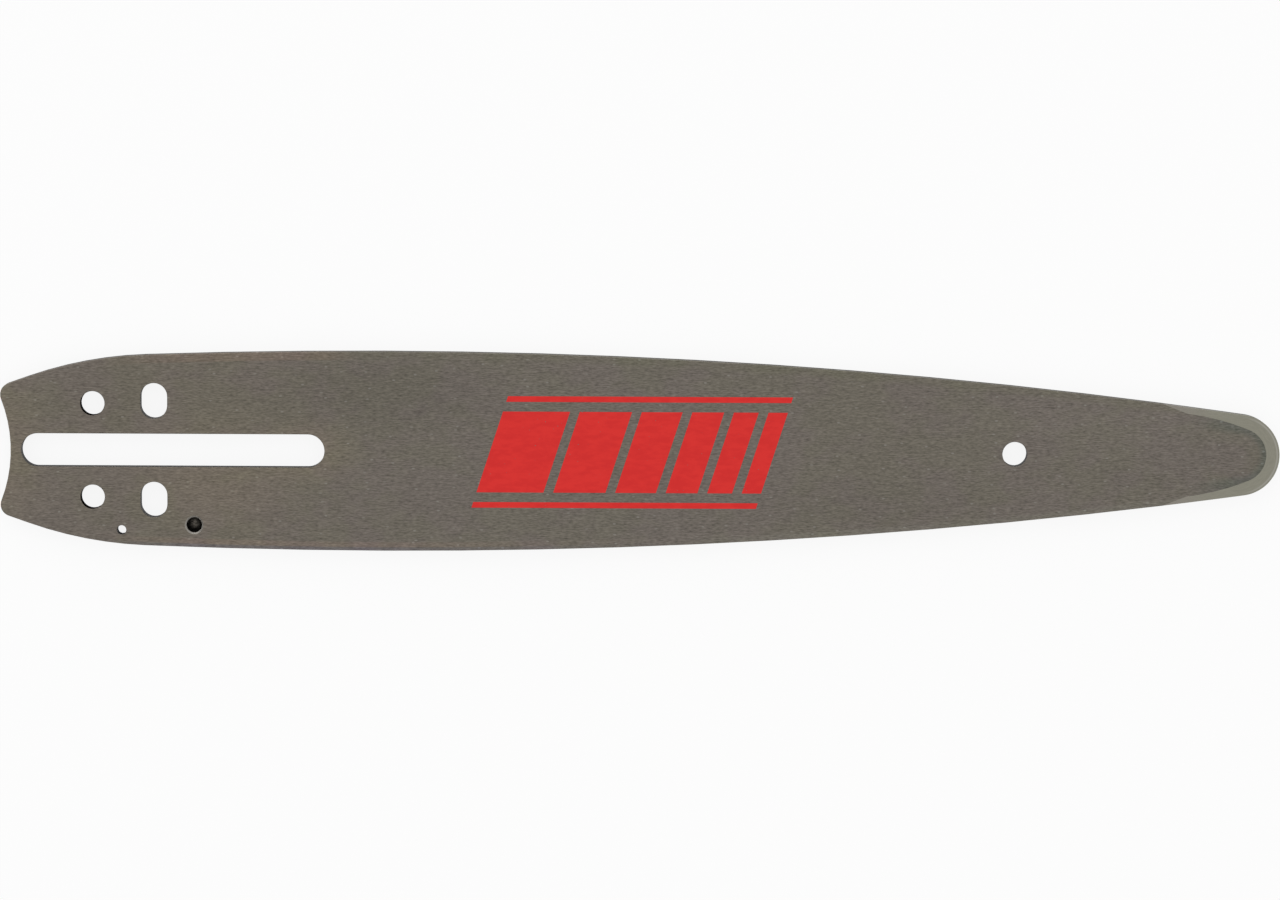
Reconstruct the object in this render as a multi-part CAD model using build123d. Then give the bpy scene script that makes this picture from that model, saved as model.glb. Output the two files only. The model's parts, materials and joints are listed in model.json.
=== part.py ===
"""Solid carving guide bar for a small chainsaw.

One flat steel blade, grooved round its edge for the chain, with a slotted mount at the
tail and a hard alloy welded round the nose. The bar lies flat: X runs from the tail to
the nose, Y across the bar and Z through its thickness.
"""
import os
from math import acos, atan2, cos, radians, sin

from build123d import *

# Blade, in millimetres and degrees
OVERALL_LENGTH = 315.0
BODY_HEIGHT = 49.2
THICKNESS = 4.2
WIDEST_FROM_TAIL = 94.5
NOSE_RADIUS = 10.0
BACK_RADIUS = 1600.0
EDGE_BREAK = 0.2
HOLE_EDGE_BREAK = 0.1

# Tail end, where the chain runs on from the sprocket
TAIL_FLANK_ANGLE = 19.4
TAIL_FLANK_LENGTH = 5.15
TAIL_CORNER_RADIUS = 2.9
TAIL_CORNER_DROP = 11.0
TAIL_HOLLOW_DEPTH = 2.55

# Chain groove
GROOVE_WIDTH = 1.3
GROOVE_DEPTH = 6.0
GROOVE_ENTRY_WIDTH = 2.3
GROOVE_ENTRY_LENGTH = 7.0

# Mount slot for the saw's bar stud
SLOT_LENGTH = 74.7
SLOT_WIDTH = 8.2
SLOT_FROM_TAIL = 5.1

# Round holes for the chain tensioner's peg
PEG_HOLE_DIAMETER = 6.0
PEG_HOLE_FROM_TAIL = 22.7
PEG_HOLE_SPACING = 23.1

# Oblong holes, for saws whose peg or pad sits further forward
OBLONG_WIDTH = 6.6
OBLONG_HEIGHT = 8.8
OBLONG_FROM_TAIL = 37.8
OBLONG_SPACING = 24.4

# Oil holes that feed the groove
DRIP_HOLE_DIAMETER = 2.3
DRIP_HOLE_FROM_TAIL = 29.8
DRIP_HOLE_FROM_EDGE = 3.4
OIL_INLET_DIAMETER = 3.8
OIL_INLET_RIM_DIAMETER = 4.6
OIL_INLET_FROM_TAIL = 47.7
OIL_INLET_FROM_EDGE = 5.5

# Hole near the nose, to hang the bar by
HANG_HOLE_DIAMETER = 6.1
HANG_HOLE_FROM_NOSE = 65.2

# Hard alloy round the nose
OVERLAY_THICKNESS = 3.3
OVERLAY_LENGTH = 28.8
OVERLAY_FLANK_RADIUS = 60.0
OVERLAY_KNEE_FROM_NOSE = 22.8
OVERLAY_KNEE_DEPTH = 1.6

# How far a cutting shape reaches past the bar
CLEAR = 10.0

TAIL_X = -OVERALL_LENGTH / 2
NOSE_X = OVERALL_LENGTH / 2
MID_Z = THICKNESS / 2


# Centres of the tangent arcs that make the upper guide edge. A line drawn parallel to
# the edge keeps these centres and only changes the radii.
half_height = BODY_HEIGHT / 2
widest_x = TAIL_X + WIDEST_FROM_TAIL
nose_centre = Vector(NOSE_X - NOSE_RADIUS, 0)

# One long arc leaves the widest place level and runs smoothly into the nose circle
taper_reach = nose_centre.X - widest_x
taper_chord = taper_reach**2 + half_height**2 - NOSE_RADIUS**2
taper_radius = taper_chord / (2 * (half_height - NOSE_RADIUS))
taper_centre = Vector(widest_x, half_height - taper_radius)
nose_out = (nose_centre - taper_centre).normalized()

# A straight flank leaves the rounded tail corner, which lies a set drop below the widest place
corner_centre = Vector(TAIL_X + TAIL_CORNER_RADIUS, half_height - TAIL_CORNER_DROP)
flank_along = Vector(cos(radians(TAIL_FLANK_ANGLE)), sin(radians(TAIL_FLANK_ANGLE)))
flank_out = Vector(-flank_along.Y, flank_along.X)
flank_start = corner_centre + flank_out * TAIL_CORNER_RADIUS

# The shoulder circle touches the end of the flank and, from inside, the slow arc of the back
back_centre = Vector(widest_x, half_height - BACK_RADIUS)
flank_top = flank_start + flank_along * TAIL_FLANK_LENGTH
from_back = flank_top - back_centre
shoulder_chord = BACK_RADIUS**2 - from_back.dot(from_back)
shoulder_radius = shoulder_chord / (2 * (BACK_RADIUS - from_back.dot(flank_out)))
shoulder_centre = flank_top - flank_out * shoulder_radius
back_out = (shoulder_centre - back_centre).normalized()

# The hollow of the tail touches both rounded corners from outside
corner_y = corner_centre.Y
hollow_reach = (corner_y**2 + TAIL_HOLLOW_DEPTH**2) / (2 * TAIL_HOLLOW_DEPTH)
hollow_radius = hollow_reach - TAIL_CORNER_RADIUS
hollow_centre = Vector(TAIL_X + TAIL_HOLLOW_DEPTH - hollow_radius, 0)
hollow_top = hollow_centre + (corner_centre - hollow_centre).normalized() * hollow_radius


def below(point):
    """The same point on the lower half of the bar."""
    return Vector(point.X, -point.Y)


def arc(centre, start, end):
    """The shorter arc from start to end about a centre."""
    spoke = start - centre
    middle = centre + (spoke + end - centre).normalized() * spoke.length
    return ThreePointArc(start, middle, end)


def guide_edge(inset, run_back):
    """Upper edge, nose and lower edge, drawn a set distance inside the blade's edge."""
    flank_end = flank_start - flank_out * inset - flank_along * run_back
    shoulder_end = flank_top - flank_out * inset
    shoulder_top = back_centre + back_out * (BACK_RADIUS - inset)
    widest = Vector(widest_x, half_height - inset)
    nose_top = nose_centre + nose_out * (NOSE_RADIUS - inset)
    upper = [
        Line(flank_end, shoulder_end),
        arc(shoulder_centre, shoulder_end, shoulder_top),
        arc(back_centre, shoulder_top, widest),
        arc(taper_centre, widest, nose_top),
    ]
    nose = ThreePointArc(nose_top, Vector(NOSE_X - inset, 0), below(nose_top))
    lower = [mirror(edge, about=Plane.XZ) for edge in upper]
    return [*upper, nose, *lower]


# Flat outline of the blade
tail_corner = ThreePointArc(flank_start, Vector(TAIL_X, corner_y), hollow_top)
tail_hollow = ThreePointArc(hollow_top, Vector(TAIL_X + TAIL_HOLLOW_DEPTH, 0), below(hollow_top))
tail_end = [tail_corner, tail_hollow, mirror(tail_corner, about=Plane.XZ)]
outline = make_face([*guide_edge(0, 0), *tail_end])


def edge_height(station):
    """Half the blade's height at one station along its length."""
    upright = Line((station, 0), (station, BODY_HEIGHT))
    return max(end.Y for end in (outline & upright).vertices())


# Holes that go right through
slot = Pos(TAIL_X + SLOT_FROM_TAIL + SLOT_LENGTH / 2, 0) * SlotOverall(SLOT_LENGTH, SLOT_WIDTH)
peg_x = TAIL_X + PEG_HOLE_FROM_TAIL
oblong_x = TAIL_X + OBLONG_FROM_TAIL
drip_x = TAIL_X + DRIP_HOLE_FROM_TAIL
holes = [
    slot,
    Pos(NOSE_X - HANG_HOLE_FROM_NOSE, 0) * Circle(HANG_HOLE_DIAMETER / 2),
    Pos(drip_x, DRIP_HOLE_FROM_EDGE - edge_height(drip_x)) * Circle(DRIP_HOLE_DIAMETER / 2),
]
for side in (-1, 1):
    holes.append(Pos(peg_x, side * PEG_HOLE_SPACING / 2) * Circle(PEG_HOLE_DIAMETER / 2))
    oblong = SlotOverall(OBLONG_HEIGHT, OBLONG_WIDTH, rotation=90)
    holes.append(Pos(oblong_x, side * OBLONG_SPACING / 2) * oblong)

# Blank blade, with every sharp edge of both faces broken: first round the outline, and then,
# more lightly, round the holes
blank = extrude(outline - holes, THICKNESS)
faces = blank.faces().sort_by(Axis.Z)
blank = chamfer(faces[0].outer_wire().edges() + faces[-1].outer_wire().edges(), EDGE_BREAK)
faces = blank.faces().sort_by(Axis.Z)
rims = faces[0].inner_wires() + faces[-1].inner_wires()
blank = chamfer([edge for rim in rims for edge in rim.edges()], HOLE_EDGE_BREAK)

# Chain groove: a thin slab that cuts in from outside as far as the groove's floor. Its
# mouth at the tail is flared, so the chain's drive links find their way in.
groove_slab = Pos(0, 0, MID_Z) * Box(OVERALL_LENGTH + CLEAR, BODY_HEIGHT + CLEAR, GROOVE_WIDTH)
entry_outline = Polyline(
    (TAIL_X, MID_Z - GROOVE_ENTRY_WIDTH / 2),
    (TAIL_X + GROOVE_ENTRY_LENGTH, MID_Z - GROOVE_WIDTH / 2),
    (TAIL_X + GROOVE_ENTRY_LENGTH, MID_Z + GROOVE_WIDTH / 2),
    (TAIL_X, MID_Z + GROOVE_ENTRY_WIDTH / 2),
    close=True,
)
entry_flare = extrude(Plane.XZ * make_face(entry_outline), half_height, both=True)
floor_edge = guide_edge(GROOVE_DEPTH, CLEAR)
floor_end = floor_edge[0] @ 0
floor_outline = make_face([*floor_edge, Line(floor_end, below(floor_end))])
groove = groove_slab + entry_flare - extrude(floor_outline, THICKNESS)

# Oil inlets: a cutter with a countersunk mouth that stops in the middle of the groove. The
# bar can be turned over, so each face has one, at the edge that is lowest when it faces out.
inlet_radius = OIL_INLET_DIAMETER / 2
inlet_rim = OIL_INLET_RIM_DIAMETER / 2
inlet_outline = Polyline(
    (0, 0),
    (inlet_rim, 0),
    (inlet_radius, inlet_radius - inlet_rim),
    (inlet_radius, -MID_Z),
    (0, -MID_Z),
    close=True,
)
inlet = revolve(Plane.XZ * make_face(inlet_outline), Axis.Z)
inlet_x = TAIL_X + OIL_INLET_FROM_TAIL
inlet_y = edge_height(inlet_x) - OIL_INLET_FROM_EDGE
front_inlet = Pos(inlet_x, -inlet_y, THICKNESS) * inlet
back_inlet = Pos(inlet_x, inlet_y, 0) * Rot(X=180) * inlet

bar = blank - groove - front_inlet - back_inlet

# Seat of the hard alloy: from the edge to a knee, along the flank, and round the nose. The
# flank's arc starts at the knee and touches the nose arc from outside.
start_x = NOSE_X - OVERLAY_LENGTH
knee_x = NOSE_X - OVERLAY_KNEE_FROM_NOSE
start = Vector(start_x, edge_height(start_x))
knee = Vector(knee_x, edge_height(knee_x) - OVERLAY_KNEE_DEPTH)
outside = start + (start - knee).normalized() * CLEAR
ahead = Vector(NOSE_X + CLEAR, outside.Y)
seat_radius = NOSE_RADIUS - OVERLAY_THICKNESS
from_nose = knee - nose_centre
seat_gap = OVERLAY_FLANK_RADIUS - seat_radius
swing_top = from_nose.dot(from_nose) + seat_gap**2 - OVERLAY_FLANK_RADIUS**2
swing = acos(swing_top / (2 * from_nose.length * seat_gap))
centre_angle = atan2(from_nose.Y, from_nose.X) + swing
to_flank = Vector(cos(centre_angle), sin(centre_angle))
flank_centre = nose_centre + to_flank * seat_gap
touch = nose_centre - to_flank * seat_radius
seat_upper = [Line(ahead, outside), Line(outside, knee), arc(flank_centre, knee, touch)]
seat_lower = [mirror(edge, about=Plane.XZ) for edge in seat_upper]
seat_nose = ThreePointArc(touch, nose_centre + Vector(seat_radius, 0), below(touch))
seat_front = Line(ahead, below(ahead))
seat = extrude(make_face([*seat_upper, seat_nose, *seat_lower, seat_front]), THICKNESS)

# The groove parts the alloy into a rail on each face
overlay = bar & seat
front_half = extrude(Plane.XY.offset(MID_Z) * Rectangle(2 * OVERALL_LENGTH, 2 * BODY_HEIGHT), THICKNESS)

pieces = {
    "bar_body": bar - seat,
    "nose_hardfacing_front": overlay & front_half,
    "nose_hardfacing_back": overlay - front_half,
}
os.makedirs("parts", exist_ok=True)
for name, shape in pieces.items():
    export_step(shape, f"parts/{name}.step")
    box = shape.bounding_box()
    print(f"{name}: {len(shape.solids())} solid, {shape.volume:.1f} mm3, size {box.size}")
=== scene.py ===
# %% [markdown]
# # A solid carving bar for a chainsaw
#
# A guide bar is the flat blade that a saw chain runs round. This one is a single plate of steel,
# 315 mm long, with a groove round its edge, a long slot at the tail for the saw's stud and a hard
# alloy welded round its narrow nose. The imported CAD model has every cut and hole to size, so the
# lesson keeps those solids and adds what CAD leaves out: ground steel, the paler alloy, printed
# stripes, and a table to lie on. The box of the CAD model is kept, to compare with at the end.

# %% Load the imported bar
import json
import math

import bpy
from mathutils import Euler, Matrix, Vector


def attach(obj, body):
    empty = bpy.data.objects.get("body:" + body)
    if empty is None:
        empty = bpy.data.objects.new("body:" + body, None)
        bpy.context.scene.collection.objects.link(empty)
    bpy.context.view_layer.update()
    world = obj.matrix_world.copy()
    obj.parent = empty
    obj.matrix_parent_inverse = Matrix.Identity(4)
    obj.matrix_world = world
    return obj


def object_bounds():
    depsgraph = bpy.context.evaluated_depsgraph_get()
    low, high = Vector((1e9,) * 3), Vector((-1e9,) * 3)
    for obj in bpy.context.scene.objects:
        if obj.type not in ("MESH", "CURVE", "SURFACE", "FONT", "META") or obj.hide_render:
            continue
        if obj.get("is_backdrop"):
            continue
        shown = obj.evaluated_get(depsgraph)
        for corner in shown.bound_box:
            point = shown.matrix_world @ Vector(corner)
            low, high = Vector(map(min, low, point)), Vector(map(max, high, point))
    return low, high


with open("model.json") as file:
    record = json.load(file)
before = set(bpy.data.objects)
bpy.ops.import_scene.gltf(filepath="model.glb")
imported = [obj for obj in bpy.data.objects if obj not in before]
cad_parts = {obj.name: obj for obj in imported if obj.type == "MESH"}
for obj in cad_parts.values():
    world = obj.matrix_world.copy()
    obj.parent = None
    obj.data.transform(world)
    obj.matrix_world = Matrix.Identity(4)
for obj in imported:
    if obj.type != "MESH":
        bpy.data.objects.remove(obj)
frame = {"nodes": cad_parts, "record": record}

cad_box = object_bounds()
tail_x, nose_x = cad_box[0].x, cad_box[1].x
half_height = cad_box[1].y
face_z = cad_box[1].z
print("nodes:", ", ".join(sorted(frame["nodes"])))
print("bar, in mm:", [round(1000 * side, 2) for side in cad_box[1] - cad_box[0]])

# %% [markdown]
# ## The line of the edge
#
# Several finishes follow the edge of the bar: the polished rails, the dark groove, the grinding
# marks round the nose. A shader needs to know how far inside the edge a point is. The edge is a
# chain of arcs that run smoothly into each other, and depth inside an arc is just its radius less
# the distance from its centre. So the arcs are worked out here from a few sizes, in metres, and
# only the upper half is needed, because the lower one mirrors it.

# %% Arcs of the edge
MM = 0.001
NOSE_RADIUS = 10.0 * MM
BACK_RADIUS = 1600.0 * MM
WIDEST_FROM_TAIL = 94.5 * MM
SHOULDER_RADIUS = 97.5 * MM
SHOULDER_FROM_TAIL = 35.5 * MM

widest_x = tail_x + WIDEST_FROM_TAIL
nose_centre = Vector((nose_x - NOSE_RADIUS, 0.0, 0.0))
reach = nose_centre.x - widest_x
drop = half_height - NOSE_RADIUS
taper_radius = (reach ** 2 + half_height ** 2 - NOSE_RADIUS ** 2) / (2 * drop)
taper_centre = Vector((widest_x, half_height - taper_radius, 0.0))
back_centre = Vector((widest_x, half_height - BACK_RADIUS, 0.0))

shoulder_x = tail_x + SHOULDER_FROM_TAIL
shoulder_rise = math.sqrt(BACK_RADIUS ** 2 - (shoulder_x - widest_x) ** 2)
shoulder_out = Vector((shoulder_x - widest_x, shoulder_rise, 0.0)) / BACK_RADIUS
shoulder_centre = back_centre + shoulder_out * (BACK_RADIUS - SHOULDER_RADIUS)
print("taper radius", round(taper_radius / MM, 1), "mm, from the widest place to the nose")

# %% [markdown]
# ## Small helpers for shader nodes
#
# Every finish below is a node tree built in code. Four helpers keep that readable: one adds a
# node, one feeds a socket with either a number or another node's output, and two wrap the nodes
# used most, Math and Map Range. A Map Range with a smooth step is a soft mask: 0 below one value,
# 1 above another, and a gentle slope in between. Colours are written as they look on a screen,
# from 0 to 255, and turned into the linear values that Blender's sockets take.

# %% Node helpers
def add_node(tree, kind, **settings):
    made = tree.nodes.new(kind)
    for name, value in settings.items():
        setattr(made, name, value)
    return made


def feed(tree, socket, value):
    if isinstance(value, bpy.types.NodeSocket):
        tree.links.new(value, socket)
    else:
        socket.default_value = value


def maths(tree, operation, *values):
    made = add_node(tree, "ShaderNodeMath", operation=operation)
    for socket, value in zip(made.inputs, values):
        feed(tree, socket, value)
    return made.outputs[0]


def soft_mask(tree, value, off, on):
    made = add_node(tree, "ShaderNodeMapRange", interpolation_type="SMOOTHSTEP")
    for name, part in (("Value", value), ("From Min", off), ("From Max", on)):
        feed(tree, made.inputs[name], part)
    return made.outputs["Result"]


def screen_colour(red, green, blue):
    def linear(level):
        share = level / 255
        return share / 12.92 if share <= 0.04045 else ((share + 0.055) / 1.055) ** 2.4
    return (linear(red), linear(green), linear(blue), 1.0)


print("mid grey of the bar, linear:", [round(c, 3) for c in screen_colour(107, 102, 93)])

# %% [markdown]
# ## Depth inside the edge, as a node group
#
# The arcs become one node group, so that the steel and the alloy share it. It reads Object
# coordinates, folds the lower half onto the upper one, measures the depth inside each arc, and
# picks the arc by how far along the bar the point is. The arcs touch where they meet, so the
# hard switch from one to the next leaves no step. A Mix node has sockets for every kind of value,
# so they are picked by number: 0 is the factor, 2 and 3 are numbers, 6 and 7 are colours.

# %% Edge depth group
def distance_from(tree, point, centre):
    made = add_node(tree, "ShaderNodeVectorMath", operation="DISTANCE")
    feed(tree, made.inputs[0], point)
    feed(tree, made.inputs[1], centre)
    return made.outputs["Value"]


def arc_depth(tree, point, centre, radius):
    return maths(tree, "SUBTRACT", radius, distance_from(tree, point, centre))


def pick_along(tree, x, limit, before, after):
    made = add_node(tree, "ShaderNodeMix", data_type="FLOAT")
    feed(tree, made.inputs[0], maths(tree, "GREATER_THAN", x, limit))
    feed(tree, made.inputs[2], before)
    feed(tree, made.inputs[3], after)
    return made.outputs[0]


edge_depth = bpy.data.node_groups.new("edge_depth", "ShaderNodeTree")
edge_depth.interface.new_socket("Depth", in_out="OUTPUT", socket_type="NodeSocketFloat")
place = add_node(edge_depth, "ShaderNodeSeparateXYZ")
feed(edge_depth, place.inputs[0], add_node(edge_depth, "ShaderNodeTexCoord").outputs["Object"])
folded = add_node(edge_depth, "ShaderNodeCombineXYZ")
feed(edge_depth, folded.inputs["X"], place.outputs["X"])
feed(edge_depth, folded.inputs["Y"], maths(edge_depth, "ABSOLUTE", place.outputs["Y"]))

depth = arc_depth(edge_depth, folded.outputs[0], shoulder_centre, SHOULDER_RADIUS)
for start_x, centre, radius in (
    (shoulder_x, back_centre, BACK_RADIUS),
    (widest_x, taper_centre, taper_radius),
    (nose_centre.x, nose_centre, NOSE_RADIUS),
):
    next_depth = arc_depth(edge_depth, folded.outputs[0], centre, radius)
    depth = pick_along(edge_depth, place.outputs["X"], start_x, depth, next_depth)
feed(edge_depth, add_node(edge_depth, "NodeGroupOutput").inputs["Depth"], depth)
print("edge depth group:", len(edge_depth.nodes), "nodes")

# %% [markdown]
# ## Grinding marks, as a node group
#
# The bar is ground on a belt that runs along it, which leaves thousands of fine streaks, about a
# millimetre long and a quarter of a millimetre apart. A noise pattern squeezed across the bar
# gives such streaks, and a second, longer one mixed in keeps them from looking even. The group
# takes the point as an input, because the alloy is ground in another direction. It gives a value
# around 0.5. A grain size has three lengths: along the bar, across it and through the plate.

# %% Grinding streak group
SHORT_STREAK = (1.1 * MM, 0.26 * MM, 0.26 * MM)
LONG_STREAK = (3.3 * MM, 0.39 * MM, 0.39 * MM)
LONG_STREAK_SHARE = 0.34


def squeezed(tree, point, grain_size):
    made = add_node(tree, "ShaderNodeMapping", vector_type="POINT")
    feed(tree, made.inputs["Vector"], point)
    made.inputs["Scale"].default_value = [1 / length for length in grain_size]
    return made.outputs[0]


def stretched_noise(tree, point, grain_size, detail=2.0):
    noise = add_node(tree, "ShaderNodeTexNoise")
    feed(tree, noise.inputs["Vector"], squeezed(tree, point, grain_size))
    noise.inputs["Scale"].default_value = 1.0
    noise.inputs["Detail"].default_value = detail
    return noise.outputs[0]


grinding = bpy.data.node_groups.new("grinding_streaks", "ShaderNodeTree")
grinding.interface.new_socket("Point", in_out="INPUT", socket_type="NodeSocketVector")
grinding.interface.new_socket("Streak", in_out="OUTPUT", socket_type="NodeSocketFloat")
ground_at = add_node(grinding, "NodeGroupInput").outputs["Point"]
both = add_node(grinding, "ShaderNodeMix", data_type="FLOAT")
both.inputs[0].default_value = LONG_STREAK_SHARE
feed(grinding, both.inputs[2], stretched_noise(grinding, ground_at, SHORT_STREAK))
feed(grinding, both.inputs[3], stretched_noise(grinding, ground_at, LONG_STREAK))
feed(grinding, add_node(grinding, "NodeGroupOutput").inputs["Streak"], both.outputs[0])
print("streaks", [round(length / MM, 2) for length in SHORT_STREAK], "mm long, wide and deep")

# %% [markdown]
# ## Helpers for a finish
#
# A finish is a material with one Principled shader. Its colour is built up in layers, as a
# painter glazes: a tint is laid over what is there through a mask, either covering it or
# multiplying it. Streaks are laid on by scaling the colour with a value around 1.

# %% Finish helpers
def new_finish(name, metallic):
    finish = bpy.data.materials.new(name)
    finish.use_nodes = True
    shader = finish.node_tree.nodes["Principled BSDF"]
    shader.inputs["Metallic"].default_value = metallic
    return finish, finish.node_tree, shader


def tint(tree, amount, under, over, blend="MIX"):
    made = add_node(tree, "ShaderNodeMix", data_type="RGBA", blend_type=blend)
    feed(tree, made.inputs[0], amount)
    feed(tree, made.inputs[6], under)
    feed(tree, made.inputs[7], over)
    return made.outputs[2]


def streaky(tree, colour, streak, contrast):
    level = maths(tree, "MULTIPLY_ADD", streak, contrast, 1 - contrast / 2)
    made = add_node(tree, "ShaderNodeVectorMath", operation="SCALE")
    feed(tree, made.inputs[0], colour)
    feed(tree, made.inputs["Scale"], level)
    return made.outputs[0]


def use_group(tree, group):
    return add_node(tree, "ShaderNodeGroup", node_tree=group)


METAL = 1.0
NOT_METAL = 0.0
print("Metallic is", METAL, "for bare metal and", NOT_METAL, "for ink and paint")

# %% [markdown]
# ## Ground bar steel
#
# Hardened steel looks grey-brown rather than silver, and its colour drifts a little between olive
# and a warm brown. Three layers make that: a cloudy noise mixes the two tints, the streaks make
# them lighter or darker, and a scatter of short bright flecks stands for metal that a coarse
# grain of the belt tore. A Voronoi pattern, squeezed like the streaks, gives one fleck for each
# of its cells, and the colour of a cell, which is random, says how bright its fleck is. Steel is
# a metal, so its base colour is what it reflects.

# %% Steel: clouds and streaks
OLIVE_STEEL = screen_colour(107.5, 102.6, 93.4)
BROWN_STEEL = screen_colour(108.5, 102, 95.8)
STEEL_CONTRAST = 1.9
CLOUD_SIZE = (11 * MM, 8 * MM, 8 * MM)
CLOUD_FADE = (0.38, 0.62)

steel, steel_tree, steel_shader = new_finish("ground_bar_steel", METAL)
steel_at = add_node(steel_tree, "ShaderNodeTexCoord")
steel_point = steel_at.outputs["Object"]
steel_grain = use_group(steel_tree, grinding)
feed(steel_tree, steel_grain.inputs["Point"], steel_point)
steel_streak = steel_grain.outputs["Streak"]

clouds = stretched_noise(steel_tree, steel_point, CLOUD_SIZE)
brown_share = soft_mask(steel_tree, clouds, *CLOUD_FADE)
steel_colour = tint(steel_tree, brown_share, OLIVE_STEEL, BROWN_STEEL)
steel_colour = streaky(steel_tree, steel_colour, steel_streak, STEEL_CONTRAST)
print("clouds and streaks:", len(steel_tree.nodes), "nodes so far")

# %% Steel: torn flecks
FLECK_STEEL = screen_colour(127, 123, 116)
FLECK_SPACING = (5.5 * MM, 2.8 * MM, 2.8 * MM)
FLECK_FADE = (0.09, 0.04)
FLECK_LEVEL = (0.2, 1.0)

torn = add_node(steel_tree, "ShaderNodeTexVoronoi", feature="F1", voronoi_dimensions="2D")
feed(steel_tree, torn.inputs["Vector"], squeezed(steel_tree, steel_point, FLECK_SPACING))
torn.inputs["Scale"].default_value = 1.0
torn_cell = add_node(steel_tree, "ShaderNodeSeparateColor")
feed(steel_tree, torn_cell.inputs[0], torn.outputs["Color"])
torn_here = soft_mask(steel_tree, torn.outputs["Distance"], *FLECK_FADE)
brightness = soft_mask(steel_tree, torn_cell.outputs[0], *FLECK_LEVEL)
fleck = maths(steel_tree, "MULTIPLY", torn_here, brightness)
steel_colour = tint(steel_tree, fleck, steel_colour, FLECK_STEEL)
print("with flecks:", len(steel_tree.nodes), "nodes so far")

# %% [markdown]
# ## Paler and darker patches
#
# A ground face is never quite even. Below the slot and round its front end the steel is a little
# paler and warmer, and so is the very tail. Ahead of the slot, on the upper side, it is darker, and
# towards the tail a little yellower. Each patch is a soft oval: squeezing the point turns the oval
# into a circle of radius 1, and a mask on the distance from its centre fades it out. Each row of the
# loop gives a tint, how much of it to use, the centre, measured from the tail and upwards from the
# centre line, and the half length and half width of the oval. Through the plate it is a metre deep,
# so that both faces get it alike.

# %% Steel: patches of the face
PALER_WARMER = (1.14, 1.115, 1.03, 1.0)
DARKER = (0.915, 0.92, 0.92, 1.0)
PALE = (1.045, 1.045, 1.05, 1.0)
YELLOWED = (1.01, 1.0, 0.975, 1.0)
THROUGH_PLATE = 1.0
OVAL_FADE = (1.0, 0.1)


def oval(tree, point, centre, half_size):
    squeezed_centre = [part / half for part, half in zip(centre, half_size)]
    gap = distance_from(tree, squeezed(tree, point, half_size), squeezed_centre)
    return soft_mask(tree, gap, *OVAL_FADE)


for finish_tint, share, along, above, half_length, half_width in (
    (PALER_WARMER, 0.75, 53 * MM, -6 * MM, 28 * MM, 20 * MM),
    (PALER_WARMER, 1.0, 76 * MM, 0.0, 16 * MM, 11 * MM),
    (PALER_WARMER, 0.8, 0.0, 0.0, 15 * MM, 32 * MM),
    (DARKER, 1.0, 94 * MM, 14 * MM, 42 * MM, 14 * MM),
    (DARKER, 0.4, 26 * MM, 13 * MM, 15 * MM, 14 * MM),
    (DARKER, 0.5, 215 * MM, -13 * MM, 42 * MM, 10 * MM),
    (PALE, 1.0, 275 * MM, 9 * MM, 60 * MM, 14 * MM),
    (YELLOWED, 1.0, 35 * MM, 0.0, 75 * MM, 50 * MM),
):
    centre = (tail_x + along, above, 0.0)
    patch = oval(steel_tree, steel_point, centre, (half_length, half_width, THROUGH_PLATE))
    faint_patch = maths(steel_tree, "MULTIPLY", share, patch)
    steel_colour = tint(steel_tree, faint_patch, steel_colour, finish_tint, "MULTIPLY")
print("with patches:", len(steel_tree.nodes), "nodes so far")

# %% [markdown]
# ## Worn rails and a heated nose
#
# The chain rubs the rails, so the strip just inside the edge is not quite the colour of the face.
# On the lower side it is warm and pale over the back half, with a cool rim that is a painted
# reflection of the broken edge, and olive further on.
# On the upper side only the stretch by the tail is rubbed, and the rest is a little duller.
# Welding has also dulled the steel beside the alloy to a dark olive. Each of these is a tint, laid
# on through a product of soft masks: which side, how far along the bar, how deep inside the edge.
# A band is two soft masks in one: it is full between two values and fades out on either side. A
# strip along the edge has no tint from one depth inwards, and the full tint from another outwards.

# %% Steel: stretches along the rails
def band(tree, value, rise, top, end, fall):
    rising = soft_mask(tree, value, rise, top)
    return maths(tree, "MULTIPLY", rising, soft_mask(tree, value, fall, end))


steel_depth = use_group(steel_tree, edge_depth).outputs["Depth"]
steel_place = add_node(steel_tree, "ShaderNodeSeparateXYZ")
feed(steel_tree, steel_place.inputs[0], steel_point)
steel_x, steel_y, steel_z = steel_place.outputs
from_tail = maths(steel_tree, "SUBTRACT", steel_x, tail_x)
from_nose = maths(steel_tree, "SUBTRACT", nose_x, steel_x)

lower_side = soft_mask(steel_tree, steel_y, 2 * MM, -2 * MM)
upper_side = maths(steel_tree, "SUBTRACT", 1.0, lower_side)
back_half = band(steel_tree, from_tail, 20 * MM, 50 * MM, 80 * MM, 175 * MM)
by_tail = band(steel_tree, from_tail, 20 * MM, 50 * MM, 78 * MM, 90 * MM)
past_tail = soft_mask(steel_tree, from_tail, 80 * MM, 95 * MM)
front_half = soft_mask(steel_tree, from_tail, 150 * MM, 200 * MM)
near_nose = soft_mask(steel_tree, from_nose, 24 * MM, 10 * MM)
print("with stretches:", len(steel_tree.nodes), "nodes so far")

# %% Steel: tints of the rails and the nose
WARM_RAIL = (1.17, 1.085, 1.075, 1.0)
# painted reflection: a cool, darker rim along the lower edge, where the broken edge reflects a cooler
# tone
COOL_RIM_REFLECTION = (0.96, 0.98, 1.165, 1.0)
OLIVE_RAIL = (1.08, 1.115, 1.10, 1.0)
UPPER_RAIL = (1.14, 1.05, 1.01, 1.0)
DULL_RAIL = (0.97, 1.0, 0.935, 1.0)
NOSE_HEAT = (0.80, 0.89, 0.90, 1.0)
BOTH_SIDES = 1.0


def edge_strip(no_tint, full_tint):
    return soft_mask(steel_tree, steel_depth, no_tint, full_tint)


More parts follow.
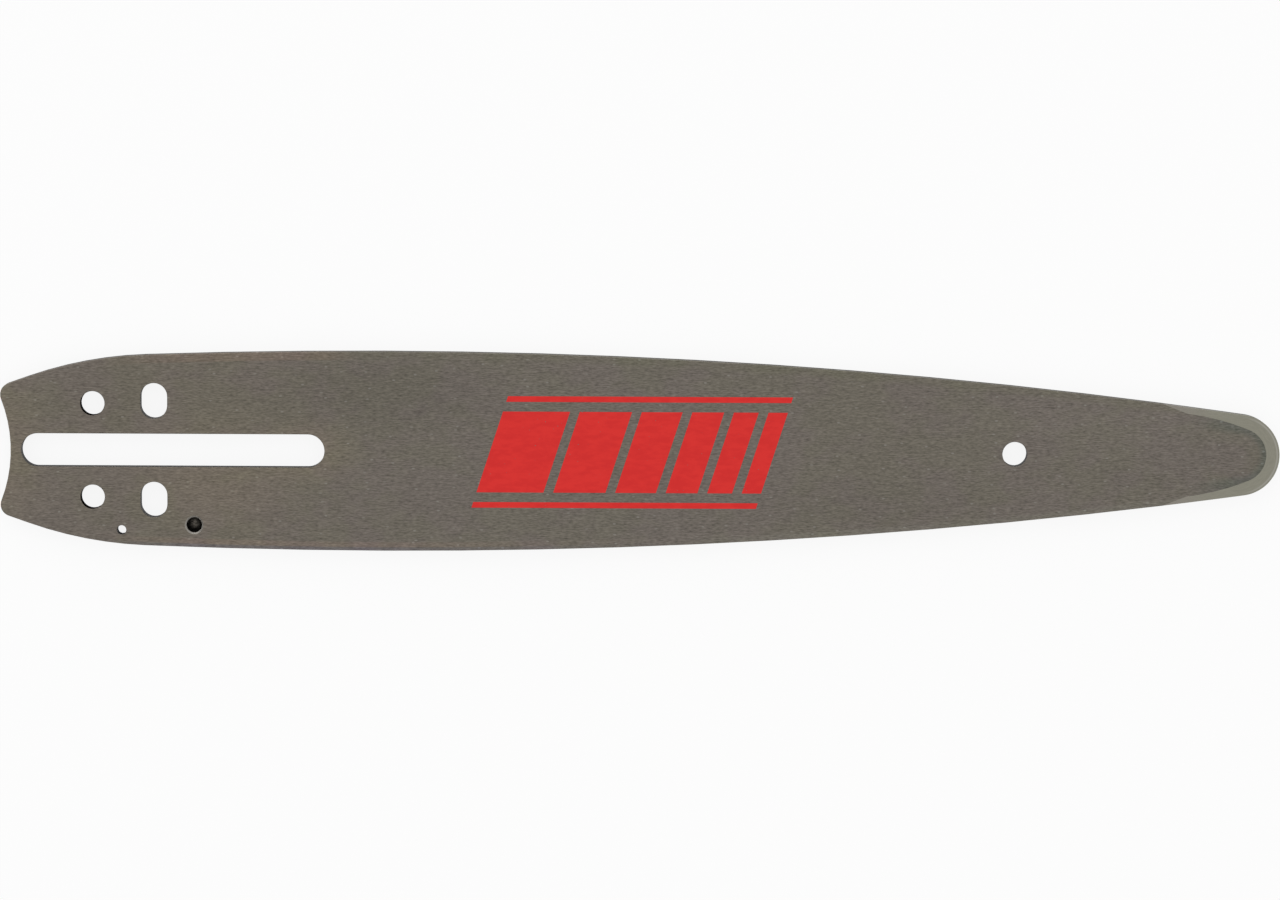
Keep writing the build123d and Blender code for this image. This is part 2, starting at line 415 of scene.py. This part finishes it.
inside_rim = band(steel_tree, steel_depth, 0.6 * MM, 1.1 * MM, 1.9 * MM, 2.4 * MM)
for finish_tint, side, stretch, strip in (
    (WARM_RAIL, lower_side, back_half, inside_rim),
    # painted reflection along the lower rim
    (COOL_RIM_REFLECTION, lower_side, back_half, edge_strip(1.1 * MM, 0.6 * MM)),
    (OLIVE_RAIL, lower_side, front_half, edge_strip(1.9 * MM, 0.9 * MM)),
    (UPPER_RAIL, upper_side, by_tail, edge_strip(2.3 * MM, 1.8 * MM)),
    (DULL_RAIL, upper_side, past_tail, edge_strip(2.8 * MM, 0.8 * MM)),
    (NOSE_HEAT, BOTH_SIDES, near_nose, edge_strip(5.6 * MM, 3.6 * MM)),
):
    amount = maths(steel_tree, "MULTIPLY", side, maths(steel_tree, "MULTIPLY", stretch, strip))
    steel_colour = tint(steel_tree, amount, steel_colour, finish_tint, "MULTIPLY")
print("with rails:", len(steel_tree.nodes), "nodes so far")

# %% [markdown]
# ## Cut walls in painted shade, rims with a painted highlight
#
# The walls of the holes and of the groove were cut and never ground. They are almost black with
# upright lines where the tool dragged: partly their own dark cut steel, partly painted shade, the
# shade that falls inside the holes and the groove. The broken rims of the holes get a painted
# highlight, a little brighter than the face.
# The way the surface faces tells these apart: its normal stands up on the face, lies flat on a
# wall, and is halfway on a rim. The outer edge is left out of that, because the chain keeps it
# clean. The groove is found by the distance from the middle of the plate, in a helper, because
# the alloy needs it too.

# %% Steel: walls and rims
# painted shade: hole walls and the groove are darkened, partly their own cut steel, partly the shade
# that falls there
CUT_STEEL_AND_SHADE = screen_colour(26, 24, 22)
# painted highlight on the broken rims of the holes
RIM_HIGHLIGHT = (1.15, 1.15, 1.15, 1.0)
DRAG_LINE = (0.5 * MM, 0.5 * MM, 6 * MM)
DRAG_CONTRAST = 2.0
WALL_SLOPE = (0.6, 0.4)
RIM_SLOPE = (0.5, 0.65, 0.75, 0.9)
OFF_EDGE_FADE = (0.6 * MM, 1.2 * MM)
GROOVE_WIDTH = 1.3 * MM
GROOVE_FADE = (0.56 * GROOVE_WIDTH, 0.5 * GROOVE_WIDTH)


# the groove is darkened through this mask: painted shade in the recess as well as its cut steel
def groove_mask(tree, height):
    off_middle = maths(tree, "ABSOLUTE", maths(tree, "SUBTRACT", height, face_z / 2))
    return soft_mask(tree, off_middle, *GROOVE_FADE)


facing = add_node(steel_tree, "ShaderNodeSeparateXYZ")
feed(steel_tree, facing.inputs[0], steel_at.outputs["Normal"])
flatness = maths(steel_tree, "ABSOLUTE", facing.outputs["Z"])
off_edge = soft_mask(steel_tree, steel_depth, *OFF_EDGE_FADE)
hole_wall = maths(steel_tree, "MULTIPLY", soft_mask(steel_tree, flatness, *WALL_SLOPE), off_edge)
hole_rim = maths(steel_tree, "MULTIPLY", band(steel_tree, flatness, *RIM_SLOPE), off_edge)
# painted highlight: the rims of the holes are made a little brighter
steel_colour = tint(steel_tree, hole_rim, steel_colour, RIM_HIGHLIGHT, "MULTIPLY")

# walls and groove take the dark colour: painted shade together with the cut steel
cut_wall_and_shade = maths(steel_tree, "MAXIMUM", hole_wall, groove_mask(steel_tree, steel_z))
drag_lines = stretched_noise(steel_tree, steel_point, DRAG_LINE)
cut_colour_and_shade = streaky(steel_tree, CUT_STEEL_AND_SHADE[:3], drag_lines, DRAG_CONTRAST)
steel_colour = tint(steel_tree, cut_wall_and_shade, steel_colour, cut_colour_and_shade)
print("with walls and rims:", len(steel_tree.nodes), "nodes so far")

# %% [markdown]
# ## Oil inlets and black peg holes
#
# The countersink of each oil inlet gets a painted highlight, the brightest place on the bar. The
# floor of the hole gets painted light: a steel lighter than the face, in patches, over the groove's
# painted shade. The peg holes are the blackest: their walls are a dull scale and painted shade
# together, and scale is no metal, so the shader's Metallic drops to 0 there and nothing shines. A
# metal, however dark, turns pale when seen aslant. An inlet or a peg hole is found by distance
# from a point in the middle of the plate, and folding Y finds the ones of both sides at once.

# %% Steel: oil inlets
# painted highlight on the countersink of each oil inlet
COUNTERSINK_HIGHLIGHT = screen_colour(160, 156, 149)
# painted light: the inlet floor is made lighter than the face, to lift the shade inside the hole
INLET_FLOOR_STEEL = screen_colour(118, 112, 104)
INLET_FROM_TAIL = 47.7 * MM
INLET_FROM_EDGE = 5.5 * MM
INLET_MOUTH_FADE = (3.4 * MM, 3.2 * MM)
INLET_FLOOR_FADE = (1.6 * MM, 0.4 * MM)
FLOOR_PATCH_FADE = (0.3, 0.6)

inlet_x = tail_x + INLET_FROM_TAIL
edge_y = back_centre.y + math.sqrt(BACK_RADIUS ** 2 - (inlet_x - widest_x) ** 2)
inlet_middle = (inlet_x, edge_y - INLET_FROM_EDGE, face_z / 2)
folded_steel = add_node(steel_tree, "ShaderNodeCombineXYZ")
for axis, part in (("X", steel_x), ("Y", maths(steel_tree, "ABSOLUTE", steel_y)), ("Z", steel_z)):
    feed(steel_tree, folded_steel.inputs[axis], part)
by_inlet = distance_from(steel_tree, folded_steel.outputs[0], inlet_middle)
inlet_mouth = soft_mask(steel_tree, by_inlet, *INLET_MOUTH_FADE)
# the countersink ring gets the painted highlight
countersink = maths(steel_tree, "MULTIPLY", hole_rim, inlet_mouth)
steel_colour = tint(steel_tree, countersink, steel_colour, COUNTERSINK_HIGHLIGHT)

# painted light on the inlet floor, in patches, over the groove's painted shade
inlet_floor = soft_mask(steel_tree, by_inlet, *INLET_FLOOR_FADE)
floor_patches = soft_mask(steel_tree, drag_lines, *FLOOR_PATCH_FADE)
lighter_floor = maths(steel_tree, "MULTIPLY", inlet_floor, floor_patches)
steel_colour = tint(steel_tree, lighter_floor, steel_colour, INLET_FLOOR_STEEL)
feed(steel_tree, steel_shader.inputs["Base Color"], steel_colour)
print("oil inlets, in mm:", [round(part / MM, 2) for part in inlet_middle])

# %% Steel: black scale and painted shade in the peg holes
PEG_HOLE_FADE = (4.2 * MM, 3.9 * MM)
SCALE_SHINE = 0.0

mounts = {mount["name"]: mount for mount in frame["record"]["mounts"]}
peg_middle = mounts["peg_hole_upper"]["pos_m"]
by_peg = distance_from(steel_tree, folded_steel.outputs[0], peg_middle)
peg_hole = soft_mask(steel_tree, by_peg, *PEG_HOLE_FADE)
# peg-hole walls: dull black scale and painted shade together, with no metal shine
black_scale_and_shade = maths(steel_tree, "MULTIPLY", hole_wall, peg_hole)
feed(steel_tree, steel_shader.inputs["Metallic"], maths(steel_tree, "SUBTRACT", METAL, black_scale_and_shade))
steel_shader.inputs["Specular IOR Level"].default_value = SCALE_SHINE
print("peg holes, in mm:", [round(part / MM, 2) for part in peg_middle])

# %% [markdown]
# ## The feel of the steel
#
# Colour alone would look printed. The same streaks drive the roughness, so that a streak is also
# a little duller or shinier, and a very shallow bump, so that they catch light from the side.
# A cut wall is rougher than a ground face. The finish then goes into the material slot of the
# CAD node, whose mesh stays as it was packed.

# %% Steel: roughness, bump and the bar body
STEEL_ROUGHNESS = 0.27
STEEL_STREAK_ROUGHNESS = 0.3
CUT_ROUGHNESS = 0.2
STEEL_BUMP = 0.6
STREAK_HEIGHT = 0.05 * MM


def streak_bump(tree, shader, height, strength):
    made = add_node(tree, "ShaderNodeBump")
    made.inputs["Strength"].default_value = strength
    made.inputs["Distance"].default_value = STREAK_HEIGHT
    feed(tree, made.inputs["Height"], height)
    feed(tree, shader.inputs["Normal"], made.outputs[0])


def dress(node_name, finish):
    node = frame["nodes"][node_name]
    for slot in node.material_slots:
        slot.material = finish
    print(node_name, "wears", finish.name)


face_rough = maths(steel_tree, "MULTIPLY_ADD", steel_streak, STEEL_STREAK_ROUGHNESS, STEEL_ROUGHNESS)
steel_rough = maths(steel_tree, "MULTIPLY_ADD", cut_wall_and_shade, CUT_ROUGHNESS, face_rough)
feed(steel_tree, steel_shader.inputs["Roughness"], steel_rough)
streak_bump(steel_tree, steel_shader, steel_streak, STEEL_BUMP)
dress("bar_body", steel)

# %% [markdown]
# ## Hard alloy round the nose
#
# A bar with no sprocket wears fastest at its tip, so a cobalt alloy is welded round it and ground
# flush. It is paler and greener than the steel, warmer where the weld begins, and much smoother.
# Its grinding marks run round the nose, so the streaks get a turned point: how far round the tip,
# and how deep inside the edge. A thin bright line along the very edge at the tip is a painted
# highlight.

# %% Alloy: marks that run round the nose
TURN_REACH = 3 * NOSE_RADIUS

alloy, alloy_tree, alloy_shader = new_finish("ground_nose_alloy", METAL)
alloy_place = add_node(alloy_tree, "ShaderNodeSeparateXYZ")
alloy_point = add_node(alloy_tree, "ShaderNodeTexCoord").outputs["Object"]
feed(alloy_tree, alloy_place.inputs[0], alloy_point)
alloy_x, alloy_y, alloy_z = alloy_place.outputs
alloy_depth = use_group(alloy_tree, edge_depth).outputs["Depth"]

ahead_of_turn = maths(alloy_tree, "SUBTRACT", alloy_x, nose_x - TURN_REACH)
turn = maths(alloy_tree, "ARCTAN2", alloy_y, ahead_of_turn)
round_point = add_node(alloy_tree, "ShaderNodeCombineXYZ")
feed(alloy_tree, round_point.inputs["X"], maths(alloy_tree, "MULTIPLY", turn, TURN_REACH))
feed(alloy_tree, round_point.inputs["Y"], alloy_depth)
feed(alloy_tree, round_point.inputs["Z"], alloy_z)
alloy_grain = use_group(alloy_tree, grinding)
feed(alloy_tree, alloy_grain.inputs["Point"], round_point.outputs[0])
alloy_streak = alloy_grain.outputs["Streak"]
print("marks turn about a point", round(TURN_REACH / MM, 1), "mm behind the tip")

# %% Alloy: colour, feel and the two nose pieces
PALE_ALLOY = screen_colour(134, 132, 120)
WARM_ALLOY = screen_colour(134, 129, 121)
# painted highlight along the very edge at the tip
ALLOY_TIP_HIGHLIGHT = screen_colour(150, 148, 139)
ALLOY_CONTRAST = 0.4
ALLOY_ROUGHNESS = 0.26
ALLOY_STREAK_ROUGHNESS = 0.2
ALLOY_BUMP = 0.25
# depths inside the edge where the painted highlight sits
EDGE_HIGHLIGHT_DEPTHS = (0.3 * MM, 0.55 * MM, 0.65 * MM, 0.9 * MM)

toward_tip = soft_mask(alloy_tree, alloy_x, nose_x - 28 * MM, nose_x - 14 * MM)
alloy_colour = tint(alloy_tree, toward_tip, WARM_ALLOY, PALE_ALLOY)
alloy_colour = streaky(alloy_tree, alloy_colour, alloy_streak, ALLOY_CONTRAST)
# painted highlight: a thin bright band at the tip's edge
edge_highlight_band = band(alloy_tree, alloy_depth, *EDGE_HIGHLIGHT_DEPTHS)
at_tip = soft_mask(alloy_tree, alloy_x, nose_centre.x, nose_centre.x + 6 * MM)
highlight_at_tip = maths(alloy_tree, "MULTIPLY", edge_highlight_band, at_tip)
alloy_colour = tint(alloy_tree, highlight_at_tip, alloy_colour, ALLOY_TIP_HIGHLIGHT)
# painted shade: the groove in the alloy gets the same dark colour as the cut walls
alloy_colour = tint(alloy_tree, groove_mask(alloy_tree, alloy_z), alloy_colour, CUT_STEEL_AND_SHADE)
feed(alloy_tree, alloy_shader.inputs["Base Color"], alloy_colour)
alloy_rough = maths(alloy_tree, "MULTIPLY_ADD", alloy_streak, ALLOY_STREAK_ROUGHNESS, ALLOY_ROUGHNESS)
feed(alloy_tree, alloy_shader.inputs["Roughness"], alloy_rough)
streak_bump(alloy_tree, alloy_shader, alloy_streak, ALLOY_BUMP)
dress("nose_hardfacing_front", alloy)
dress("nose_hardfacing_back", alloy)

# %% [markdown]
# ## Red ink
#
# The print on a bar is screen ink: opaque, slightly glossy, and a hair thinner where the mesh of
# the screen held back. It is a plastic-like film, not a metal. A fine noise varies the red, and
# tiny pinholes let the dark steel through, as they do on a bar that has been handled.

# %% Ink finish
INK_RED = screen_colour(222, 46, 42)
INK_DEEP_RED = screen_colour(214, 41, 39)
INK_CLOUD = (3 * MM, 1.2 * MM, 1.2 * MM)
INK_CLOUD_FADE = (0.35, 0.65)
PINHOLE_SPACING = (0.5 * MM, 0.35 * MM, 0.35 * MM)
PINHOLE_FADE = (0.82, 0.88)
INK_ROUGHNESS = 0.4
INK_CLOUD_ROUGHNESS = 0.2
INK_SHINE = 0.2

ink, ink_tree, ink_shader = new_finish("stripe_ink", NOT_METAL)
ink_point = add_node(ink_tree, "ShaderNodeTexCoord").outputs["Object"]
ink_clouds = stretched_noise(ink_tree, ink_point, INK_CLOUD, detail=3.0)
deep_share = soft_mask(ink_tree, ink_clouds, *INK_CLOUD_FADE)
ink_colour = tint(ink_tree, deep_share, INK_RED, INK_DEEP_RED)
pinhole_noise = stretched_noise(ink_tree, ink_point, PINHOLE_SPACING, detail=0.0)
pinhole = soft_mask(ink_tree, pinhole_noise, *PINHOLE_FADE)
ink_colour = tint(ink_tree, pinhole, ink_colour, BROWN_STEEL)
feed(ink_tree, ink_shader.inputs["Base Color"], ink_colour)
ink_rough = maths(ink_tree, "MULTIPLY_ADD", ink_clouds, INK_CLOUD_ROUGHNESS, INK_ROUGHNESS)
feed(ink_tree, ink_shader.inputs["Roughness"], ink_rough)
ink_shader.inputs["Specular IOR Level"].default_value = INK_SHINE
print("ink finish:", len(ink_tree.nodes), "nodes")

# %% [markdown]
# ## Printed stripes by Geometry Nodes
#
# The decoration is a row of leaning bars that get narrower towards the nose, between two thin
# lines. Each bar could be drawn by hand, but they follow one rule, so Geometry Nodes make them.
# The tree lays out points, gives the first bar its width and each next one a fixed share of it,
# adds the widths up to find where each bar starts, and puts a flat box on every point. The boxes
# are then sheared, so that they lean, and moved onto the face.

# %% Stripe tree: points, widths and places
STRIPE_INPUTS = (
    ("Count", "NodeSocketInt"), ("First Width", "NodeSocketFloat"), ("Shrink", "NodeSocketFloat"),
    ("Gap", "NodeSocketFloat"), ("Height", "NodeSocketFloat"), ("Lean", "NodeSocketFloat"),
    ("Film", "NodeSocketFloat"), ("Start", "NodeSocketVector"), ("Ink", "NodeSocketMaterial"),
)
stripes = bpy.data.node_groups.new("shrinking_stripes", "GeometryNodeTree")
for name, kind in STRIPE_INPUTS:
    stripes.interface.new_socket(name, in_out="INPUT", socket_type=kind)
stripes.interface.new_socket("Geometry", in_out="OUTPUT", socket_type="NodeSocketGeometry")

asked = add_node(stripes, "NodeGroupInput").outputs
order = add_node(stripes, "GeometryNodeInputIndex").outputs[0]
shrunk = maths(stripes, "POWER", asked["Shrink"], order)
width = maths(stripes, "MULTIPLY", asked["First Width"], shrunk)
running = add_node(stripes, "GeometryNodeAccumulateField", data_type="FLOAT", domain="POINT")
feed(stripes, running.inputs[0], maths(stripes, "ADD", width, asked["Gap"]))
half_stripe = maths(stripes, "DIVIDE", width, 2.0)
middle = add_node(stripes, "ShaderNodeCombineXYZ")
feed(stripes, middle.inputs["X"], maths(stripes, "ADD", half_stripe, running.outputs["Trailing"]))

points = add_node(stripes, "GeometryNodePoints")
feed(stripes, points.inputs["Count"], asked["Count"])
spread = add_node(stripes, "GeometryNodeSetPosition")
feed(stripes, spread.inputs["Geometry"], points.outputs[0])
feed(stripes, spread.inputs["Position"], middle.outputs[0])
print("stripe inputs:", ", ".join(name for name, kind in STRIPE_INPUTS))

# %% Stripe tree: boxes, lean and ink
box_size = add_node(stripes, "ShaderNodeCombineXYZ")
for axis, part in (("X", width), ("Y", asked["Height"]), ("Z", asked["Film"])):
    feed(stripes, box_size.inputs[axis], part)
unit_box = add_node(stripes, "GeometryNodeMeshCube")
unit_box.inputs["Size"].default_value = (1.0, 1.0, 1.0)
boxes = add_node(stripes, "GeometryNodeInstanceOnPoints")
feed(stripes, boxes.inputs["Points"], spread.outputs[0])
feed(stripes, boxes.inputs["Instance"], unit_box.outputs["Mesh"])
feed(stripes, boxes.inputs["Scale"], box_size.outputs[0])
real_boxes = add_node(stripes, "GeometryNodeRealizeInstances")
feed(stripes, real_boxes.inputs[0], boxes.outputs[0])

corner = add_node(stripes, "ShaderNodeSeparateXYZ")
feed(stripes, corner.inputs[0], add_node(stripes, "GeometryNodeInputPosition").outputs[0])
sheared = add_node(stripes, "ShaderNodeCombineXYZ")
feed(stripes, sheared.inputs["X"], maths(stripes, "MULTIPLY", corner.outputs["Y"], asked["Lean"]))
moved = add_node(stripes, "ShaderNodeVectorMath", operation="ADD")
feed(stripes, moved.inputs[0], sheared.outputs[0])
feed(stripes, moved.inputs[1], asked["Start"])
laid = add_node(stripes, "GeometryNodeSetPosition")
feed(stripes, laid.inputs["Geometry"], real_boxes.outputs[0])
feed(stripes, laid.inputs["Offset"], moved.outputs[0])
inked = add_node(stripes, "GeometryNodeSetMaterial")
feed(stripes, inked.inputs["Geometry"], laid.outputs[0])
feed(stripes, inked.inputs["Material"], asked["Ink"])
feed(stripes, add_node(stripes, "NodeGroupOutput").inputs["Geometry"], inked.outputs[0])
print("stripe tree:", len(stripes.nodes), "nodes")

# %% [markdown]
# ## Printing the bar
#
# The same tree runs three times: once for the row of bars, and once each for the line above and
# below it, which are rows of one. The film is a fiftieth of a millimetre thick, thick enough to
# cover the steel and too thin to feel. Each result is turned into a plain mesh, so nothing
# depends on the modifier any more, and then it rides on the bar.

# %% Print the stripes
PRINT_START_X = -37.0 * MM
BAR_COUNT = 6
BAR_WIDTH = 16.5 * MM
BAR_SHRINK = 0.78
BAR_GAP = 2.4 * MM
BAR_HEIGHT = 20.0 * MM
LINE_HEIGHT = 1.4 * MM
LEAN = math.tan(math.radians(18.0))
INK_FILM = 0.02 * MM


def print_stripes(name, sizes):
    holder = bpy.data.objects.new(name + "_maker", bpy.data.meshes.new(name + "_maker"))
    bpy.context.scene.collection.objects.link(holder)
    modifier = holder.modifiers.new("stripes", "NODES")
    modifier.node_group = stripes
    for socket in stripes.interface.items_tree:
        if socket.in_out == "INPUT":
            modifier[socket.identifier] = sizes[socket.name]
    seen = holder.evaluated_get(bpy.context.evaluated_depsgraph_get())
    film = bpy.data.objects.new(name, bpy.data.meshes.new_from_object(seen))
    bpy.context.scene.collection.objects.link(film)
    bpy.data.objects.remove(holder)
    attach(film, "root")
    print(name, "has", len(film.data.polygons), "faces")


bar_widths = [BAR_WIDTH * BAR_SHRINK ** step for step in range(BAR_COUNT)]
row_length = sum(bar_widths) + (BAR_COUNT - 1) * BAR_GAP
line_y = BAR_HEIGHT / 2 + BAR_GAP + LINE_HEIGHT / 2
bar_sizes = {
    "Count": BAR_COUNT, "First Width": BAR_WIDTH, "Shrink": BAR_SHRINK, "Gap": BAR_GAP,
    "Height": BAR_HEIGHT, "Lean": LEAN, "Film": INK_FILM, "Ink": ink,
    "Start": (PRINT_START_X, 0.0, face_z + INK_FILM / 2),
}
print_stripes("printed_bars", bar_sizes)
for name, side in (("printed_line_upper", 1), ("printed_line_lower", -1)):
    line_start = (PRINT_START_X + side * line_y * LEAN, side * line_y, face_z + INK_FILM / 2)
    line_sizes = dict(bar_sizes, Count=1, Height=LINE_HEIGHT, Start=line_start)
    line_sizes["First Width"] = row_length
    print_stripes(name, line_sizes)

# %% [markdown]
# ## White table
#
# The bar lies on a white table under soft, even light. To the camera, and in reflections, the
# table is mostly plain white, with a small share of real paint left in so that the bar still
# casts a faint shadow. The Light Path node tells those rays apart from the ones that light the
# scene. Seen from underneath, the table is clear, so that the back of the bar can be looked at.

# %% Table paint
def seen_rays(tree):
    rays = add_node(tree, "ShaderNodeLightPath").outputs
    direct = maths(tree, "MAXIMUM", rays["Is Camera Ray"], rays["Is Glossy Ray"])
    return maths(tree, "MAXIMUM", direct, rays["Is Transmission Ray"])


def mix_shaders(tree, amount, under, over):
    made = add_node(tree, "ShaderNodeMixShader")
    feed(tree, made.inputs[0], amount)
    feed(tree, made.inputs[1], under)
    feed(tree, made.inputs[2], over)
    return made.outputs[0]


TABLE_PAINT = (0.9, 0.9, 0.9, 1.0)
TABLE_ROUGHNESS = 0.9
PLAIN_WHITE_SHARE = 0.88

paint, paint_tree, paint_shader = new_finish("white_table_paint", NOT_METAL)
paint_shader.inputs["Base Color"].default_value = TABLE_PAINT
paint_shader.inputs["Roughness"].default_value = TABLE_ROUGHNESS
glow = add_node(paint_tree, "ShaderNodeEmission").outputs[0]
plain_white = maths(paint_tree, "MULTIPLY", seen_rays(paint_tree), PLAIN_WHITE_SHARE)
painted = mix_shaders(paint_tree, plain_white, paint_shader.outputs[0], glow)
underneath = add_node(paint_tree, "ShaderNodeNewGeometry").outputs["Backfacing"]
clear = add_node(paint_tree, "ShaderNodeBsdfTransparent").outputs[0]
table_surface = mix_shaders(paint_tree, underneath, painted, clear)
feed(paint_tree, paint_tree.nodes["Material Output"].inputs["Surface"], table_surface)
print("table paint:", len(paint_tree.nodes), "nodes")

# %% Table top
TABLE_HALF = 4.0
TABLE_DROP = 0.05 * MM

corners = [
    (side_x * TABLE_HALF, side_y * TABLE_HALF, -TABLE_DROP)
    for side_x, side_y in ((-1, -1), (1, -1), (1, 1), (-1, 1))
]
table_mesh = bpy.data.meshes.new("table")
table_mesh.from_pydata(corners, [], [(0, 1, 2, 3)])
table_mesh.materials.append(paint)
table = bpy.data.objects.new("table", table_mesh)
bpy.context.scene.collection.objects.link(table)
table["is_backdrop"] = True
print("table", 2 * TABLE_HALF, "m wide")

# %% [markdown]
# ## Studio light
#
# The world is an even white dome, a little dimmer as a light source than as a background. One
# large soft lamp from behind and to the left adds the rest, and gives the edges a light and a
# dark side. The level is plain: a colour on the bar renders about as it was written.

# %% World
WHITE = (1.0, 1.0, 1.0, 1.0)
DOME_STRENGTH = 0.8

studio = bpy.data.worlds.new("studio")
studio.use_nodes = True
bpy.context.scene.world = studio
dome_tree = studio.node_tree
dome_light = dome_tree.nodes["Background"]
dome_light.inputs["Color"].default_value = WHITE
dome_light.inputs["Strength"].default_value = DOME_STRENGTH
dome_seen = add_node(dome_tree, "ShaderNodeBackground")
dome_seen.inputs["Color"].default_value = WHITE
dome = mix_shaders(dome_tree, seen_rays(dome_tree), dome_light.outputs[0], dome_seen.outputs[0])
feed(dome_tree, dome_tree.nodes["World Output"].inputs["Surface"], dome)
bpy.context.scene.view_settings.view_transform = "Standard"
print("dome of strength", DOME_STRENGTH, "as a light")

# %% Lamp
LAMP_WIDTH = 2.0
LAMP_POWER = 7.0
LAMP_PLACE = Vector((-0.5, 1.4, 0.9))

lamp_data = bpy.data.lights.new("soft_lamp", "AREA")
lamp_data.size = LAMP_WIDTH
lamp_data.energy = LAMP_POWER
lamp = bpy.data.objects.new("soft_lamp", lamp_data)
lamp.location = LAMP_PLACE
lamp.rotation_mode = "QUATERNION"
lamp.rotation_quaternion = (-LAMP_PLACE).to_track_quat("-Z", "Y")
lamp.visible_camera = False
bpy.context.scene.collection.objects.link(lamp)
print("lamp of", LAMP_POWER, "W,", round(LAMP_PLACE.length, 2), "m away")

# %% [markdown]
# ## Camera
#
# The photograph looks almost straight down at the bar from about 1.4 metres, slightly from its
# upper side, so that the lower walls of the holes just show. The bar fills the picture from edge
# to edge and is turned by a quarter of a degree. The lens follows from that: it has to spread the
# bar's length over the picture's 1280 pixels.

# %% Camera over the bar
PICTURE_WIDTH = 1280
BAR_PIXELS = 1279.5
CAMERA_DISTANCE = 1.4
CAMERA_TILT = math.radians(5.2)
CAMERA_ROLL = math.radians(0.2685)
VIEW_ABOVE_CENTRE_LINE = 0.645 * MM

target = Vector(((tail_x + nose_x) / 2, VIEW_ABOVE_CENTRE_LINE, face_z))
turned = Euler((-CAMERA_TILT, 0.0, CAMERA_ROLL))
view_width = (nose_x - tail_x) * PICTURE_WIDTH / BAR_PIXELS
camera_data = bpy.data.cameras.new("overhead_camera")
camera_data.lens = camera_data.sensor_width * CAMERA_DISTANCE / view_width
camera = bpy.data.objects.new("overhead_camera", camera_data)
camera.rotation_euler = turned
camera.location = target + turned.to_matrix() @ Vector((0.0, 0.0, CAMERA_DISTANCE))
bpy.context.scene.collection.objects.link(camera)
bpy.context.scene.camera = camera
print("lens", round(camera_data.lens, 1), "mm at", CAMERA_DISTANCE, "m")

# %% [markdown]
# ## Measure and finish
#
# Last, the box round everything shown is compared with the box of the CAD model. Only the ink
# film stands proud of it.

# %% Sizes
visual_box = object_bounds()
proud = max(max(visual_box[1] - cad_box[1]), max(cad_box[0] - visual_box[0]))
print("the dressed bar stands proud of the CAD box by", round(proud / MM, 3), "mm")
